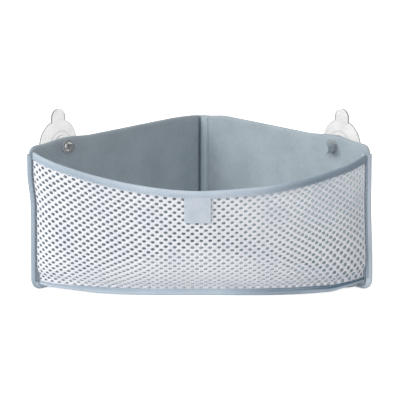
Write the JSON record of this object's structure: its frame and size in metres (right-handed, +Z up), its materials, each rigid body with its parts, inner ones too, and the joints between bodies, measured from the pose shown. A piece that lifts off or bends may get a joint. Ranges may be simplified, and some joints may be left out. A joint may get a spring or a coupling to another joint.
{
  "type": "corner bath toy organizer",
  "caption": "Corner bath toy organizer: padded fabric back wings, bulging open-mesh front and base, taped edges and clear suction cups that hold it in a corner of the bath.",
  "frame": {"origin": "on the floor that the base tapes stand on, under the middle of the whole object's box", "axes": "+Z up, +X to the right of someone facing the mesh front, +Y to the back corner"},
  "size_m": [0.3326, 0.2124, 0.1695],
  "materials": {
    "lining_fabric": "grey woven polyester lining",
    "padding_foam": "open-cell padding foam",
    "cover_fabric": "grey woven polyester cover",
    "binding_tape": "grey-blue woven binding tape",
    "white_mesh": "white warp-knit polyester mesh",
    "eyelet_plastic": "satin grey plastic",
    "clear_pvc": "clear soft PVC",
    "label_film": "translucent soft film"
  },
  "bodies": {
    "left_wing": {"left_back_lining": "lining_fabric", "left_back_foam": "padding_foam", "left_back_cover": "cover_fabric", "left_edge_binding": "binding_tape", "left_cup_eyelet": "eyelet_plastic", "corner_back_tape": "binding_tape"},
    "right_wing": {"right_back_lining": "lining_fabric", "right_back_foam": "padding_foam", "right_back_cover": "cover_fabric", "right_edge_binding": "binding_tape", "right_cup_eyelet": "eyelet_plastic", "corner_seam_binding": "binding_tape"},
    "front": {"front_mesh": "white_mesh", "mouth_binding": "binding_tape", "base_mesh": "white_mesh", "base_front_binding": "binding_tape"},
    "label": {"label": "label_film"},
    "left_cup": {"left_suction_cup": "clear_pvc"},
    "right_cup": {"right_suction_cup": "clear_pvc"}
  },
  "joints": [
    {"name": "corner_fold", "type": "hinge", "parent": "left_wing", "child": "right_wing", "pos_m": [0, 0.10002, 0.07], "axis": [0, 0, -1], "range_deg": [0, 45], "deforming": ["front_mesh", "mouth_binding", "base_mesh", "base_front_binding", "corner_back_tape"]},
    {"name": "front_follow", "type": "hinge", "parent": "left_wing", "child": "front", "pos_m": [0, 0.10002, 0.07], "axis": [0, 0, -1], "range_deg": [0, 22.5]},
    {"name": "label_flap", "type": "hinge", "parent": "front", "child": "label", "pos_m": [-0.0016, -0.10622, 0.099], "axis": [-1, 0, 0], "range_deg": [0, 150]},
    {"name": "left_cup_swivel", "type": "hinge", "parent": "left_wing", "child": "left_cup", "pos_m": [-0.12763, -0.02761, 0.1325], "axis": [-0.7071, 0.7071, 0], "continuous": true},
    {"name": "right_cup_swivel", "type": "hinge", "parent": "right_wing", "child": "right_cup", "pos_m": [0.12763, -0.02761, 0.1325], "axis": [0.7071, 0.7071, 0], "continuous": true}
  ],
  "couplings": [
    {"joint": "front_follow", "follows": "corner_fold", "ratio": 0.5}
  ]
}
